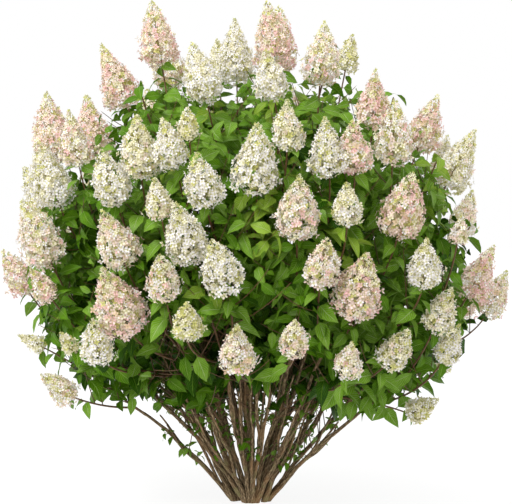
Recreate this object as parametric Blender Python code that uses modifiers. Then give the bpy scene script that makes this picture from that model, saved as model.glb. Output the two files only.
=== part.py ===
# Panicle hydrangea: a many-stemmed flowering shrub, two metres high and as wide.
# Metres, +Z up, front towards -Y. The origin is the middle of the flat cut under the root crown.

import itertools
import math
import random

import bmesh
import bpy
import numpy as np
from mathutils import Matrix, Vector

SEED = 11
GAP = 0.0003
CM = 0.01
UP = Vector((0, 0, 1))

# The crown: the tips of the flower heads stand on a dome round this middle. Where two crowd
# each other, the later one stands deeper in
CROWN_RADIUS = 1.0
CROWN_MIDDLE_Z = 1.01
HEAD_SPACING = 0.085
SET_BACK = 0.03

# A flower head points away from the foot, and a little more upright than that. Its outline is
# a blunt cone: radius and height as shares of its greatest radius and its length
HEAD_UPRIGHT = 0.25
HEAD_SLIMNESS = 0.32
FRONT_SLIMNESS = 0.35
HEAD_MIDDLE = 0.6
HEAD_SIDES = 6
HEAD_PROFILE = ((0.0, 1.0), (0.7, 0.62), (1.0, 0.2), (0.0, 0.0))
NARROWER = 0.88
NARROWINGS = 8

# Where the eye stands that the next two tables are read from. Each gives the masses by name and,
# for each flower head, the two places where its tip and the foot of its outline are seen against
# the upright plane through the middle: right, height, right, height, in centimetres
EYE = Vector((0.016, -6.5, 1.35))
UNDERSIDE = 0.3

# The masses that face the front
FRONT_MASSES = {
    "front_upper_left": (
        (-60, 141, -54, 119), (-46, 155, -44, 129), (-36, 154, -30, 133), (-39, 130, -36, 113),
    ),
    "front_top": (
        (-22, 140, -18, 117), (2, 152, 2, 123), (5, 181, 9, 161), (14, 161, 14, 141),
        (-26, 158, -25, 145),
    ),
    "front_upper_right": (
        (19, 131, 18, 104), (29, 154, 31, 130), (40, 153, 41, 131), (38, 128, 38, 110),
    ),
    "front_right": ((64, 132, 58, 105), (46, 100, 40, 71), (70, 106, 68, 84), (30, 106, 27, 85)),
    "front_left": ((-60, 117, -50, 93), (-60, 94, -48, 65), (-37, 99, -34, 79)),
    "front_middle": ((-16, 105, -9, 82), (-31, 120, -23, 95), (-26, 80, -26, 63)),
    "front_low": ((-6, 71, -6, 50), (17, 73, 17, 56)),
    "front_low_left": ((-64, 73, -60, 54), (-77, 68, -71, 60)),
    "front_low_right": ((40, 64, 38, 48), (63, 69, 53, 53), (75, 41, 62, 34)),
}

# The masses at the outline. Their heads stand by turns on the dome's near and far side
RIM_MASSES = {
    "low_left": ((-85, 51, -71, 41), (-94, 67, -84, 62)),
    "left": ((-92, 121, -80, 95), (-100, 101, -90, 85), (-89, 94, -80, 81)),
    "upper_left": (
        (-86, 145, -77, 119), (-66, 163, -62, 138), (-73, 157, -69, 135), (-82, 164, -78, 137),
    ),
    "top_left": ((-60, 183, -50, 159), (-40, 200, -36, 176)),
    "top": ((-24, 184, -18, 160), (-14, 185, -13, 170), (6, 200, 9, 177), (-7, 193, -6, 167)),
    "top_right": ((29, 192, 27, 167), (40, 187, 37, 172), (49, 173, 48, 150)),
    "upper_right": ((57, 161, 56, 135), (78, 147, 75, 131), (89, 149, 77, 126), (74, 163, 66, 141)),
    "right": ((84, 115, 82, 103), (88, 125, 83, 107), (97, 103, 86, 82), (102, 93, 94, 75)),
    "low_right": ((80, 86, 72, 67), (80, 63, 75, 52), (83, 71, 76, 55)),
}

# The masses behind: the bearing of each one's middle from the right-hand side, and its height.
# Heads fill that side by a rule, evenly spaced, and each goes to the mass whose middle is nearest
BACK_MASSES = {
    "back_top": (90, 1.75),
    "back_upper_right": (52, 1.4),
    "back_upper": (90, 1.35),
    "back_upper_left": (128, 1.4),
    "back_low_right": (48, 0.8),
    "back_low_middle_right": (76, 0.75),
    "back_low_middle_left": (104, 0.75),
    "back_low_left": (132, 0.8),
}
BACK_SPACING = 0.25
BACK_FROM = 0.12
BACK_LENGTHS = (0.22, 0.3)
LOWEST_TIP = 0.6
DOME_TRIES = 420

# Shoots that don't flower end inside the dome, where the flower heads leave it open
LEAFY_RADIUS = 0.9
LEAFY_SPACING = 0.25
LEAFY_TIP = 0.03

# The root crown: the foot of every stem, gathered in clumps on a low woody plate
ROOT_CROWN_RADIUS = 0.082
ROOT_CROWN_HEIGHT = 0.02
ROOT_CROWN_SIDES = 10
CROWN_TAPER = 0.6
BELOW_CUT = 0.04
FOOT_CLUMPS = ((-0.074, 0.0), (-0.004, -0.03), (0.054, -0.008), (0.008, 0.04))
FOOT_GATHER = 0.5
FOOT_REACH = 0.85
FLARE = 1.5

# Boughs: one woody stem for each mass, from its neck above the root crown to where leaves begin
NECK_HEIGHT = 0.1
NECK_RADIUS = 0.15
NECK_SPACING = 0.036
NECK_ROUNDS = 60
STEEPEST_LEAN = math.radians(50)
BOUGH_REACH = (0.5, 0.9)
BOUGH_SHARE = 0.52
BOUGH_LEAN = math.radians(50)
FRONT_LEAN = math.radians(40)
BOUGH_BEND = 0.4
BOUGH_RADIUS = (0.0125, 0.0085)
BOUGH_PIECES = 4
STRAIGHT_START = 0.02
LIMB_SIDES = 5

# A mass's own stem goes this share of the way on to its heads, and its shoots leave it in turn
STEM_SHARE = 0.3
STEM_BEND = 0.4
STEM_RADII = (0.0085, 0.008, 0.0068)
FIRST_SHOOT = 0.55
LAST_SHOOT = 0.95

# Shoots: this year's growth, one to each flower head, with leaves in opposite pairs
SHOOT_RADIUS = (0.0065, 0.004)
SHOOT_PIECES = 2
SHOOT_PULL = 0.45
SHOOT_RISE = 0.3
SHOOT_SUNK = 0.3
SHOOT_SIDES = 3
PAIR_FIRST = 0.035
PAIR_SPACING = 0.14
PAIR_SHIFT = 0.02
PAIR_STAGGER = 0.004
PAIRS_PER_SHOOT = 3

# Leaves: larger than life, because there are fewer of them. Width, thickness, the place of the
# widest point and the droop of the tip are shares of the length
LEAF_LENGTH = 0.21
LEAF_WIDTH = 0.52
LEAF_THICKNESS = 0.03
LEAF_WIDEST = 0.42
LEAF_DROOP = 0.18
LEAF_SIZES = (1.0, 0.82, 0.66, 0.52)
LEAF_TURNS = (0, 0.5, -0.5)
LEAF_FORWARD = (0.0, 0.35)
LEAF_HANG = 0.5
LEAF_SKYWARD = 0.35
LEAF_ROOT = 0.0006
LEAF_SPOTS = ((0.2, 0.4), (LEAF_WIDEST, 1.0), (0.6, 0.7), (0.8, 0.35), (1.0, 0.0), (0.5, 0.0))

# What a leaf or flower head keeps clear of. The crown's underside rises outwards like a bowl
LOWEST = 0.26
HEM_HEIGHT = 0.34
HEM_FROM = 0.55
HEM_RISE = 0.5
SPACE_MARGIN = 0.006
LIMB_MARGIN = 0.014
HEAD_MARGIN = 0.004
HEAD_BLUNTNESS = 0.6
LEAF_CROWDING = 0.135

BARK_COLOUR = (0.24, 0.16, 0.1, 1.0)
BARK_ROUGHNESS = 0.85
LEAF_COLOUR = (0.09, 0.22, 0.04, 1.0)
LEAF_ROUGHNESS = 0.55


def clear_scene():
    for thing in list(bpy.data.objects):
        bpy.data.objects.remove(thing)


def paint(thing, colour, roughness):
    """Gives an object a material of its own."""
    material = bpy.data.materials.new(thing.name)
    material.use_nodes = True
    shader = material.node_tree.nodes["Principled BSDF"]
    shader.inputs["Base Color"].default_value = colour
    shader.inputs["Roughness"].default_value = roughness
    material.diffuse_color = colour
    thing.data.materials.append(material)


def make_collection(name):
    collection = bpy.data.collections.new(name)
    bpy.context.scene.collection.children.link(collection)
    return collection


def mesh_object(name, mesh, collection):
    thing = bpy.data.objects.new(name, mesh)
    collection.objects.link(thing)
    return thing


def settled_mesh(thing):
    """An object's mesh with its modifiers or bevel applied, and the object removed."""
    bpy.context.view_layer.update()
    evaluated = thing.evaluated_get(bpy.context.evaluated_depsgraph_get())
    mesh = bpy.data.meshes.new_from_object(evaluated)
    mesh.transform(thing.matrix_world)
    bpy.data.objects.remove(thing)
    return mesh


def on_dome(place, side, taken):
    """The tip seen at this place, on the dome's near side (-1) or far side (1), or deeper in."""
    ray = (place - EYE).normalized()
    to_middle = UP * CROWN_MIDDLE_Z - EYE
    nearest = to_middle.dot(ray)
    room = CROWN_RADIUS**2 - to_middle.length_squared + nearest**2
    tip = EYE + ray * (nearest + side * math.sqrt(max(room, 0)))
    while any((tip - other).length < HEAD_SPACING for other in taken):
        tip -= ray * side * SET_BACK
    return tip


def make_head(tip, axis, length, slimness=HEAD_SLIMNESS):
    """A flower head as its base, axis, length and greatest radius, which is nothing on a leafy tip."""
    return {"base": tip - axis * length, "axis": axis, "length": length, "radius": slimness * length}


def natural_axis(tip):
    """The way a flower head at this tip points."""
    return (tip.normalized() + UP * HEAD_UPRIGHT).normalized()


def seen_head(tip, place, foot, slimness):
    """A flower head that points out as far as others do, and is seen between these two places."""
    out = natural_axis(tip).y
    upright = math.sqrt(1 - out**2)
    seen = place - foot
    axis = seen.normalized() * upright + (tip - EYE).normalized() * out
    size = seen.length * (tip.y - EYE.y) / -EYE.y
    return make_head(tip, axis.normalized(), size / (upright + UNDERSIDE * abs(out)), slimness)


def even_tips(taken, radius, spacing, front_limit, rng):
    """Evenly spaced tips on a dome of this radius, wherever it is still open behind the limit."""
    tips = []
    golden = math.pi * (3 - math.sqrt(5))
    order = list(range(DOME_TRIES))
    rng.shuffle(order)
    for i in order:
        height = 1 - 2 * (i + 0.5) / DOME_TRIES
        ring = math.sqrt(1 - height**2)
        tip = Vector((ring * math.cos(i * golden), ring * math.sin(i * golden), height)) * radius
        tip.z += CROWN_MIDDLE_Z
        if tip.y < front_limit or tip.z < LOWEST_TIP:
            continue
        if all((tip - other).length > spacing for other in taken + tips):
            tips.append(tip)
    return tips


def deal_heads(rng):
    """Every mass's flower heads and leafy tips, by the mass's name."""
    masses = {}
    taken = []
    groups = ((FRONT_MASSES, (-1, -1), FRONT_SLIMNESS), (RIM_MASSES, (-1, 1), HEAD_SLIMNESS))
    for rows, sides, slimness in groups:
        for name, heads in rows.items():
            masses[name] = []
            for i, (right, height, foot_right, foot_height) in enumerate(heads):
                place = Vector((right, 0, height)) * CM
                foot = Vector((foot_right, 0, foot_height)) * CM
                tip = on_dome(place, sides[i % 2], taken)
                taken.append(tip)
                masses[name].append(seen_head(tip, place, foot, slimness))
    middles = {}
    for name, (bearing, height) in BACK_MASSES.items():
        ring = math.sqrt(CROWN_RADIUS**2 - (height - CROWN_MIDDLE_Z) ** 2)
        angle = math.radians(bearing)
        middles[name] = Vector((ring * math.cos(angle), ring * math.sin(angle), height))
        masses[name] = []
    for tip in even_tips(taken, CROWN_RADIUS, BACK_SPACING, BACK_FROM, rng):
        nearest = min(middles, key=lambda name: (middles[name] - tip).length)
        masses[nearest].append(make_head(tip, natural_axis(tip), rng.uniform(*BACK_LENGTHS)))
    flowers = []
    for name, heads in masses.items():
        for head in heads:
            flowers.append((head["base"] + head["axis"] * head["length"] * HEAD_MIDDLE, name))
    middles_taken = [middle for middle, _ in flowers]
    for tip in even_tips(middles_taken, LEAFY_RADIUS, LEAFY_SPACING, -CROWN_RADIUS, rng):
        _, nearest = min(flowers, key=lambda flower: (flower[0] - tip).length)
        masses[nearest].append(make_head(tip, natural_axis(tip), LEAFY_TIP, 0))
    return masses


def bezier(start, control, end, t):
    return start * (1 - t) ** 2 + control * 2 * t * (1 - t) + end * t**2


def spread_necks(necks):
    """Pushes apart the points where the boughs leave the root crown, until none crowd another."""
    for _ in range(NECK_ROUNDS):
        for one, other in itertools.combinations(necks, 2):
            apart = necks[one] - necks[other]
            short = NECK_SPACING - apart.length
            if short > 0:
                push = apart.normalized() * short / 2
                necks[one] += push
                necks[other] -= push


def foot_of(neck):
    """Where the stem under this neck stands on the ground, gathered with its neighbours."""
    own = neck.to_2d() * ROOT_CROWN_RADIUS / NECK_RADIUS
    own *= min(1, ROOT_CROWN_RADIUS * FOOT_REACH / own.length)
    clump = min((Vector(place) for place in FOOT_CLUMPS), key=lambda place: (place - own).length)
    return clump.lerp(own, FOOT_GATHER).to_3d()


def plan_boughs(masses):
    """Each bough's foot, neck, bend and end, worked out from where its mass's heads stand."""
    boughs = {}
    necks = {}
    for name, heads in masses.items():
        middle = sum((head["base"] for head in heads), Vector()) / len(heads)
        reach = min(max(middle.length * BOUGH_SHARE, BOUGH_REACH[0]), BOUGH_REACH[1])
        lean = min(middle.angle(UP), FRONT_LEAN if name in FRONT_MASSES else BOUGH_LEAN)
        outward = Vector((middle.x, middle.y, 0)).normalized()
        end = (outward * math.sin(lean) + UP * math.cos(lean)) * reach
        necks[name] = outward * NECK_RADIUS * min(lean / STEEPEST_LEAN, 1)
        boughs[name] = {"end": end, "middle": middle}
    spread_necks(necks)
    for name, bough in boughs.items():
        neck = necks[name] + UP * NECK_HEIGHT
        foot = foot_of(necks[name])
        rise = (neck - foot).normalized()
        bend = neck + rise * (bough["end"] - neck).length * BOUGH_BEND
        bough.update(foot=foot, neck=neck, rise=rise, bend=bend)
    return boughs


def bough_points(bough):
    """The bough's line: straight on from its neck at first, then curving to its end."""
    start = bough["neck"] + bough["rise"] * GAP
    curve_start = start + bough["rise"] * STRAIGHT_START
    steps = range(BOUGH_PIECES + 1)
    return [start] + [bezier(curve_start, bough["bend"], bough["end"], i / BOUGH_PIECES) for i in steps]


def plan_shoots(bough, heads):
    """The mass's own stem and, from it, one shoot to each flower head, as lists of points."""
    points = bough_points(bough)
    onward = (points[-1] - points[-2]).normalized()
    to_heads = bough["middle"] - bough["end"]
    start = points[-1] + onward * GAP
    stem_length = to_heads.length * STEM_SHARE
    knee = start + onward * stem_length * STEM_BEND
    heading = (onward + to_heads.normalized()).normalized()
    stem = [start, knee, knee + heading * stem_length * (1 - STEM_BEND)]
    shoots = []
    order = sorted(heads, key=lambda head: (head["base"] - stem[-1]).length)
    for i, head in enumerate(order):
        share = FIRST_SHOOT + (LAST_SHOOT - FIRST_SHOOT) * (i + 1) / len(order)
        leave = stem[1].lerp(stem[2], share)
        control = head["base"] - head["axis"] * (head["base"] - leave).length * SHOOT_PULL
        control.z = max(control.z, leave.z + (head["base"].z - leave.z) * SHOOT_RISE)
        path = [bezier(leave, control, head["base"], j / SHOOT_PIECES) for j in range(SHOOT_PIECES)]
        path.append(head["base"] + head["axis"] * head["length"] * SHOOT_SUNK)
        shoots.append({"points": path, "head": head})
    return stem, shoots


def distances(point, starts, ends):
    """From a point to each of many straight stretches."""
    along = ends - starts
    to_point = point - starts
    share = np.clip((to_point * along).sum(1) / (along * along).sum(1), 0, 1)
    return np.linalg.norm(to_point - along * share[:, None], axis=1)


class Room:
    """Whose space a point lies in: that of the mass whose stem, shoots and heads are nearest."""

    def __init__(self):
        self.lines = []
        self.owners = []
        self.limbs = []
        self.heads = []
        self.leaf_middles = []

    def add_mass(self, name, stem, shoots):
        for points in [stem] + [shoot["points"] for shoot in shoots]:
            self.add_line(name, points)
        for shoot in shoots:
            head = shoot["head"]
            self.add_line(name, [head["base"], head["base"] + head["axis"] * head["length"]])
            self.heads.append(head)

    def add_line(self, name, points):
        for pair in itertools.pairwise(points):
            self.lines.append(pair)
            self.owners.append(name)

    def add_limb(self, points):
        self.limbs += itertools.pairwise(points)

    def settle(self):
        self.starts, self.ends = np.array(self.lines).transpose(1, 0, 2)
        self.limb_starts, self.limb_ends = np.array(self.limbs).transpose(1, 0, 2)
        self.owners = np.array(self.owners)

    def holds(self, name, points):
        """Whether all these points lie in this mass's space and clear of every limb."""
        own = self.owners == name
        for point in points:
            here = np.array(point)
            away = distances(here, self.starts, self.ends)
            if away[own].min() + 2 * SPACE_MARGIN > away[~own].min():
                return False
            limb = distances(here, self.limb_starts, self.limb_ends).min()
            if limb < BOUGH_RADIUS[0] + LIMB_MARGIN or here[2] < LOWEST:
                return False
        return True

    def clear_of_heads(self, points):
        """Whether all these points lie outside every flower head, taken as a blunt cone."""
        for head, point in itertools.product(self.heads, points):
            out = point - head["base"]
            along = out.dot(head["axis"])
            if not 0 < along < head["length"]:
                continue
            girth = head["radius"] * (1 - along / head["length"]) ** HEAD_BLUNTNESS
            if (out - head["axis"] * along).length < girth + HEAD_MARGIN:
                return False
        return True

    def claim_leaf(self, points):
        """Takes a leaf's place unless its middle crowds another leaf's."""
        middle = sum(points, Vector()) / len(points)
        if any((middle - other).length < LEAF_CROWDING for other in self.leaf_middles):
            return False
        self.leaf_middles.append(middle)
        return True


def ring_profile(sides, collection):
    """A flat ring of this many corners, for a rod's section."""
    curve = bpy.data.curves.new("section", "CURVE")
    curve.dimensions = "2D"
    line = curve.splines.new("POLY")
    line.points.add(sides - 1)
    line.use_cyclic_u = True
    for i, corner in enumerate(line.points):
        angle = 2 * math.pi * i / sides
        corner.co = (math.cos(angle), math.sin(angle), 0, 1)
    guide = bpy.data.objects.new("section_" + str(sides), curve)
    guide.hide_render = True
    guide.display_type = "WIRE"
    collection.objects.link(guide)
    return guide


def rod_object(name, points, radii, section, collection):
    """A tapering rod of this section along a line of points, as a closed mesh."""
    curve = bpy.data.curves.new(name, "CURVE")
    curve.dimensions = "3D"
    curve.bevel_mode = "OBJECT"
    curve.bevel_object = section
    curve.use_fill_caps = True
    line = curve.splines.new("POLY")
    line.points.add(len(points) - 1)
    for corner, point, radius in zip(line.points, points, radii):
        corner.co = (*point, 1)
        corner.radius = radius
    rod = bpy.data.objects.new(name, curve)
    collection.objects.link(rod)
    mesh = settled_mesh(rod)
    shape = bmesh.new()
    shape.from_mesh(mesh)
    bmesh.ops.remove_doubles(shape, verts=shape.verts, dist=0.00001)
    if len(points) > 2:
        bmesh.ops.triangulate(shape, faces=shape.faces)
    bmesh.ops.recalc_face_normals(shape, faces=shape.faces)
    shape.to_mesh(mesh)
    shape.free()
    return mesh_object(name, mesh, collection)


def unit_head(collection):
    """A flower head one long and one in radius, turned from its outline."""
    mesh = bpy.data.meshes.new("outline")
    corners = [(r, 0, z) for r, z in HEAD_PROFILE]
    mesh.from_pydata(corners, list(itertools.pairwise(range(len(corners)))), [])
    outline = mesh_object("outline", mesh, collection)
    turn = outline.modifiers.new("Turn", "SCREW")
    turn.steps = turn.render_steps = HEAD_SIDES
    turn.use_merge_vertices = True
    turn.merge_threshold = 0.0001
    return settled_mesh(outline)


def unit_leaf():
    """A leaf one long: a thin blade with a keel, widest below its middle, its tip hanging."""
    shape = bmesh.new()
    bmesh.ops.create_uvsphere(shape, u_segments=3, v_segments=2, radius=1)
    ring = [corner for corner in shape.verts if not round(corner.co.z)]
    ends = [corner for corner in shape.verts if round(corner.co.z)]
    for corner in ends:
        corner.co = (0, -LEAF_DROOP, 1) if corner.co.z > 0 else (0, 0, 0)
    keel = min(ring, key=lambda corner: abs(corner.co.x))
    droop = -LEAF_DROOP * LEAF_WIDEST**2
    for corner in ring:
        side = math.copysign(LEAF_WIDTH / 2, corner.co.x)
        corner.co = (side, droop, LEAF_WIDEST)
    keel.co = (0, droop - LEAF_THICKNESS, LEAF_WIDEST)
    bmesh.ops.recalc_face_normals(shape, faces=shape.faces)
    mesh = bpy.data.meshes.new("leaf")
    shape.to_mesh(mesh)
    shape.free()
    return mesh


def placed_copy(name, mesh, matrix, collection):
    copied = mesh.copy()
    copied.transform(matrix)
    return mesh_object(name, copied, collection)


def head_matrix(head):
    turn = head["axis"].to_track_quat("Z", "Y").to_matrix().to_4x4()
    size = Matrix.Diagonal((head["radius"], head["radius"], head["length"], 1))
    return Matrix.Translation(head["base"]) @ turn @ size


def fit_head(room, name, head, mesh):
    """Narrows a flower head until it keeps to its mass's space, and says whether it does."""
    for _ in range(NARROWINGS):
        matrix = head_matrix(head)
        corners = [matrix @ corner.co for corner in mesh.vertices]
        if room.holds(name, corners):
            return True
        head["radius"] *= NARROWER
    return False


def leaf_matrix(root, direction, length):
    """Lays a leaf out from its root, its upper side turned outwards and to the sky."""
    light = root.normalized() + UP * LEAF_SKYWARD
    across = direction.cross(light).normalized()
    upper = across.cross(direction)
    turn = Matrix((across, upper, direction)).transposed().to_4x4()
    return Matrix.Translation(root) @ turn @ Matrix.Scale(length, 4)


def leaf_corners(matrix):
    """Points over a leaf's blade, for the test of its space."""
    corners = []
    for (along, width), side in itertools.product(LEAF_SPOTS, (-1, 1)):
        corners.append(matrix @ Vector((side * width * LEAF_WIDTH / 2, -LEAF_DROOP * along**2, along)))
    return corners


def place_at(points, distance):
    """The place and heading at a distance back from the end of a line of points."""
    for after, before in itertools.pairwise(reversed(points)):
        step = (after - before).length
        if distance <= step:
            return after.lerp(before, distance / step), (after - before).normalized()
        distance -= step
    return None, None


def leaf_places(shoot, rng):
    """Root, direction and heading of each leaf: opposite pairs, each pair square to the last."""
    turn = rng.uniform(0, math.pi)
    for pair in range(PAIRS_PER_SHOOT):
        distance = PAIR_FIRST + pair * PAIR_SPACING + rng.uniform(-PAIR_SHIFT, PAIR_SHIFT)
        place, heading = place_at(shoot["points"], distance + shoot["head"]["length"] * SHOOT_SUNK)
        if place is None:
            return
        side = heading.orthogonal().normalized()
        for half in (0, 1):
            root = place + heading * half * PAIR_STAGGER
            outward = Matrix.Rotation(turn + (pair / 2 + half) * math.pi, 3, heading) @ side
            direction = outward + heading * rng.uniform(*LEAF_FORWARD) - UP * LEAF_HANG
            yield root, direction.normalized(), heading


def above_hem(points):
    """Whether all these points lie above the crown's underside."""
    for point in points:
        if point.z < HEM_HEIGHT + HEM_RISE * max(point.to_2d().length - HEM_FROM, 0):
            return False
    return True


def add_leaf(room, name, mesh, root, direction, heading, collection):
    """A leaf at this root, turned or smaller where the space needs it, or nothing."""
    for size, turn in itertools.product(LEAF_SIZES, LEAF_TURNS):
        turned = Matrix.Rotation(turn, 3, heading) @ direction
        matrix = leaf_matrix(root + turned * LEAF_ROOT, turned, LEAF_LENGTH * size)
        corners = leaf_corners(matrix)
        if not above_hem(corners) or not room.clear_of_heads(corners):
            continue
        if room.holds(name, corners) and room.claim_leaf(corners):
            return [placed_copy("leaf", mesh, matrix, collection)]
    return []


def join_all(first, others, name, collection):
    """Makes one closed solid of these, and drops any loose scrap."""
    helpers = make_collection(name + "_joined")
    for thing in others:
        helpers.objects.link(thing)
    join = first.modifiers.new("Join", "BOOLEAN")
    join.operation = "UNION"
    join.operand_type = "COLLECTION"
    join.collection = helpers
    join.solver = "EXACT"
    mesh = settled_mesh(first)
    for thing in others:
        bpy.data.objects.remove(thing)
    bpy.data.collections.remove(helpers)
    keep_largest(mesh)
    return mesh_object(name, mesh, collection)


def keep_largest(mesh):
    shape = bmesh.new()
    shape.from_mesh(mesh)
    left = set(shape.verts)
    islands = []
    while left:
        reached = [left.pop()]
        island = set(reached)
        while reached:
            for edge in reached.pop().link_edges:
                fresh = left.intersection(edge.verts)
                left -= fresh
                island |= fresh
                reached += fresh
        islands.append(island)
    islands.sort(key=len, reverse=True)
    for scrap in islands[1:]:
        bmesh.ops.delete(shape, geom=list(scrap), context="VERTS")
    shape.to_mesh(mesh)
    shape.free()


def build_root_crown(boughs, parts, scratch, section):
    """The woody foot: the lowest stretch of every stem, joined, and cut flat at the ground."""
    plate = bmesh.new()
    height = ROOT_CROWN_HEIGHT + BELOW_CUT
    bmesh.ops.create_cone(
        plate,
        cap_ends=True,
        segments=ROOT_CROWN_SIDES,
        radius1=ROOT_CROWN_RADIUS,
        radius2=ROOT_CROWN_RADIUS * CROWN_TAPER,
        depth=height,
        matrix=Matrix.Translation((0, 0, height / 2 - BELOW_CUT)),
    )
    mesh = bpy.data.meshes.new("plate")
    plate.to_mesh(mesh)
    plate.free()
    first = mesh_object("plate", mesh, scratch)
    stubs = []
    radii = (BOUGH_RADIUS[0] * FLARE, BOUGH_RADIUS[0])
    for name, bough in boughs.items():
        line = (bough["foot"] - bough["rise"] * BELOW_CUT, bough["neck"])
        stubs.append(rod_object(name, line, radii, section, scratch))
    crown = join_all(first, stubs, "root_crown", parts)
    cut_at_ground(crown.data)
    paint(crown, BARK_COLOUR, BARK_ROUGHNESS)


def cut_at_ground(mesh):
    """Takes away all that lies below the ground, and closes the cut with a flat face."""
    shape = bmesh.new()
    shape.from_mesh(mesh)
    everything = shape.verts[:] + shape.edges[:] + shape.faces[:]
    cut = bmesh.ops.bisect_plane(shape, geom=everything, plane_co=(0, 0, 0), plane_no=UP, clear_inner=True)
    rim = [part for part in cut["geom_cut"] if isinstance(part, bmesh.types.BMEdge)]
    bmesh.ops.holes_fill(shape, edges=rim, sides=0)
    bmesh.ops.triangulate(shape, faces=shape.faces)
    shape.to_mesh(mesh)
    shape.free()


def build_bough(name, bough, parts, section):
    points = bough_points(bough)
    thick, thin = BOUGH_RADIUS
    radii = [thick + (thin - thick) * i / (len(points) - 1) for i in range(len(points))]
    limb = rod_object("bough_" + name, points, radii, section, parts)
    paint(limb, BARK_COLOUR, BARK_ROUGHNESS)


def build_mass(name, stem, shoots, room, shapes, parts, scratch, rng):
    """One leafy mass: its stem, its shoots, their flower heads and their leaves, as one solid."""
    first = rod_object("stem", stem, STEM_RADII, shapes["limb_section"], scratch)
    pieces = []
    thick, thin = SHOOT_RADIUS
    radii = [thick + (thin - thick) * i / SHOOT_PIECES for i in range(SHOOT_PIECES + 1)]
    for shoot in shoots:
        head = shoot["head"]
        pieces.append(rod_object("shoot", shoot["points"], radii, shapes["shoot_section"], scratch))
        if head["radius"] and fit_head(room, name, head, shapes["head"]):
            pieces.append(placed_copy("head", shapes["head"], head_matrix(head), scratch))
        for root, direction, heading in leaf_places(shoot, rng):
            pieces += add_leaf(room, name, shapes["leaf"], root, direction, heading, scratch)
    mass = join_all(first, pieces, "mass_" + name, parts)
    paint(mass, LEAF_COLOUR, LEAF_ROUGHNESS)


def main():
    clear_scene()
    rng = random.Random(SEED)
    parts = make_collection("panicle_hydrangea")
    scratch = make_collection("joining")
    shapes = {
        "limb_section": ring_profile(LIMB_SIDES, scratch),
        "shoot_section": ring_profile(SHOOT_SIDES, scratch),
        "head": unit_head(scratch),
        "leaf": unit_leaf(),
    }
    masses = deal_heads(rng)
    boughs = plan_boughs(masses)
    room = Room()
    plans = {}
    for name, heads in masses.items():
        plans[name] = plan_shoots(boughs[name], heads)
        room.add_mass(name, *plans[name])
        room.add_limb(bough_points(boughs[name]))
    room.settle()
    build_root_crown(boughs, parts, scratch, shapes["limb_section"])
    for name, (stem, shoots) in plans.items():
        build_bough(name, boughs[name], parts, shapes["limb_section"])
        build_mass(name, stem, shoots, room, shapes, parts, scratch, rng)
    for guide in list(scratch.objects):
        bpy.data.objects.remove(guide)
    bpy.data.collections.remove(scratch)


main()
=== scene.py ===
# A panicle hydrangea in flower: bark, shoots, leaves and blossom grown round its imported model.
# Metres, Z up, front towards -Y. The limbs follow the same rule as the model's own limbs.

import itertools
import math
import random

import bmesh
import bpy
import numpy as np
from mathutils import Matrix, Vector


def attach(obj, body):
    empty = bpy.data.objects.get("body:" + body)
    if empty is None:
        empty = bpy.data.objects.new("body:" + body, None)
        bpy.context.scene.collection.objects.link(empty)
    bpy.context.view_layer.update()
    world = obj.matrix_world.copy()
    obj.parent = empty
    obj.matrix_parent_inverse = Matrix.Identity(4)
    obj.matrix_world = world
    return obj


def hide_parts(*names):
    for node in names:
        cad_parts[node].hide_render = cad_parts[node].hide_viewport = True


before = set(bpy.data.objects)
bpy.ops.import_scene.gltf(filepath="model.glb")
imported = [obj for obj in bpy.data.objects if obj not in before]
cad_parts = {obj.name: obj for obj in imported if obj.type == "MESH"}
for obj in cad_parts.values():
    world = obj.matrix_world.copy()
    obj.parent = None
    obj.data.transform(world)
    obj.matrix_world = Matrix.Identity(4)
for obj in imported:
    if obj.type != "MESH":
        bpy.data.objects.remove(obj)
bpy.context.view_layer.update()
up = Vector((0, 0, 1))
level = np.array((1, 1, 0))
cm = 0.01
goldenTurn = math.pi * (3 - math.sqrt(5))

# Where the flower heads stand, as in the model
crown = {
    "seed": 11,
    "radius": 1.0,
    "middleZ": 1.01,
    "headSpacing": 0.085,
    "setBack": 0.03,
    "headUpright": 0.25,
    "headSlimness": 0.32,
    "frontSlimness": 0.35,
    "underside": 0.3,
    "backSpacing": 0.25,
    "backFrom": 0.12,
    "backLengths": (0.22, 0.3),
    "lowestTip": 0.6,
    "domeTries": 420,
    "leafyRadius": 0.9,
    "leafySpacing": 0.25,
    "leafyTip": 0.03,
    "middleShare": 0.6,
}

# Where the eye stands that the next two tables are read from. For each head: the places where its
# tip and the foot of its outline are seen against the upright plane through the middle (right,
# height, right, height, in cm), and its blush
eye = Vector((0.016, -6.5, 1.35))
frontHeads = {
    "front_upper_left": ((-60, 141, -54, 119, "white"), (-46, 155, -44, 129, "cream"),
                         (-36, 154, -30, 133, "white"), (-39, 130, -36, 113, "cream")),
    "front_top": ((-22, 140, -18, 117, "white"), (2, 152, 2, 123, "white"),
                  (5, 181, 9, 161, "white"), (14, 161, 14, 141, "cream"),
                  (-26, 158, -25, 145, "green")),
    "front_upper_right": ((19, 131, 18, 104, "blush"), (29, 154, 31, 130, "white"),
                          (40, 153, 41, 131, "pink"), (38, 128, 38, 110, "cream")),
    "front_right": ((64, 132, 58, 105, "pink"), (46, 100, 40, 71, "pink"),
                    (70, 106, 68, 84, "white"), (30, 106, 27, 85, "blush")),
    "front_left": ((-60, 117, -50, 93, "blush"), (-60, 94, -48, 65, "pink"),
                   (-37, 99, -34, 79, "blush")),
    "front_middle": ((-16, 105, -9, 82, "white"), (-31, 120, -23, 95, "white"),
                     (-26, 80, -26, 63, "green")),
    "front_low": ((-6, 71, -6, 50, "blush"), (17, 73, 17, 56, "blush")),
    "front_low_left": ((-64, 73, -60, 54, "white"), (-77, 68, -71, 60, "green")),
    "front_low_right": ((40, 64, 38, 48, "blush"), (63, 69, 53, 53, "cream"),
                        (75, 41, 62, 34, "green")),
}
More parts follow.
